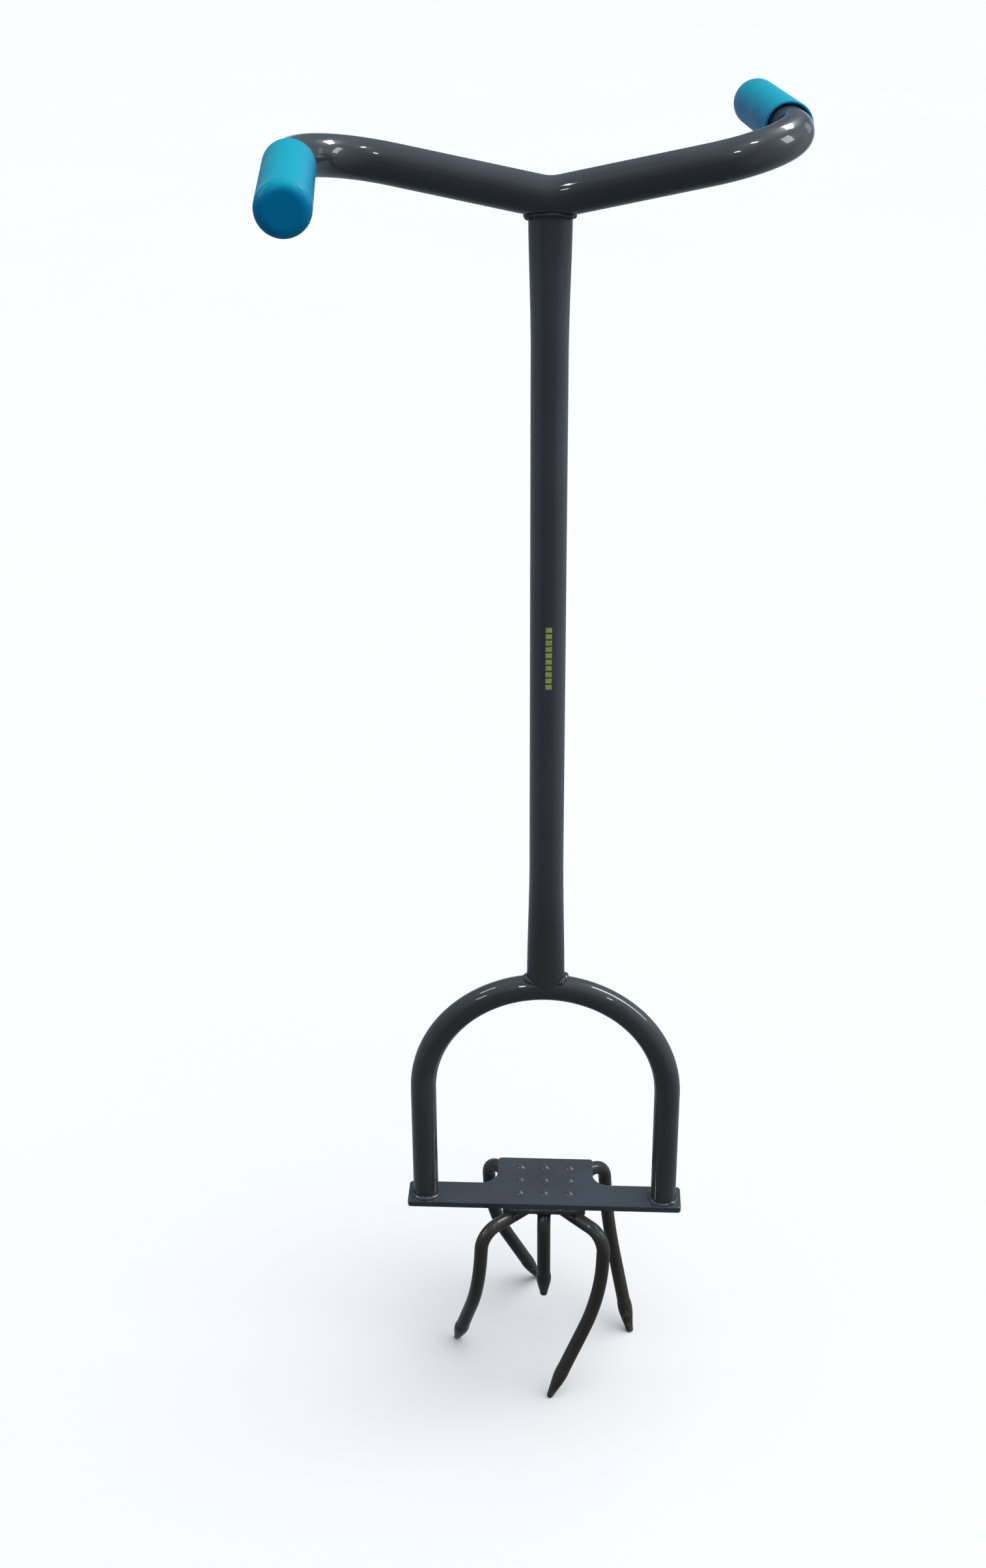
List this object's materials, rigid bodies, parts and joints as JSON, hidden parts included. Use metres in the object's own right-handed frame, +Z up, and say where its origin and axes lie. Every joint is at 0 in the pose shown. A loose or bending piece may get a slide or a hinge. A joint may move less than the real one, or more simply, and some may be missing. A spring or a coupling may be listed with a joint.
{
  "type": "hand twist tiller",
  "caption": "Upright garden twist tiller: bent tube handlebar with two sleeve grips, tube shaft, stirrup hoop, foot plate and curved soil tines.",
  "frame": {"origin": "on the shaft's axis, level with the tips of the four outer tines, which is the middle of the underside of the whole tool's box", "axes": "+Z up along the shaft towards the handlebar, +X to the user's right, +Y away from the user; the right grip points along +Y and the left grip along -Y"},
  "size_m": [0.3284, 0.3894, 0.9576],
  "materials": {
    "enamelled_steel": "glossy charcoal enamel with a slight orange peel",
    "grip_vinyl": "satin teal"
  },
  "bodies": {
    "root": {"handlebar": "enamelled_steel", "shaft": "enamelled_steel", "hoop": "enamelled_steel", "foot_plate": "enamelled_steel", "hub_plate": "enamelled_steel", "tine_front_left": "enamelled_steel", "tine_front_right": "enamelled_steel", "tine_back_left": "enamelled_steel", "tine_back_right": "enamelled_steel", "centre_tine": "enamelled_steel", "handlebar_weld": "enamelled_steel", "hoop_weld": "enamelled_steel", "left_leg_weld": "enamelled_steel", "right_leg_weld": "enamelled_steel", "hub_weld_front": "enamelled_steel", "hub_weld_back": "enamelled_steel", "tine_front_left_weld": "enamelled_steel", "tine_front_right_weld": "enamelled_steel", "tine_back_left_weld": "enamelled_steel", "tine_back_right_weld": "enamelled_steel", "centre_tine_weld": "enamelled_steel", "left_grip": "grip_vinyl", "right_grip": "grip_vinyl"}
  },
  "joints": []
}
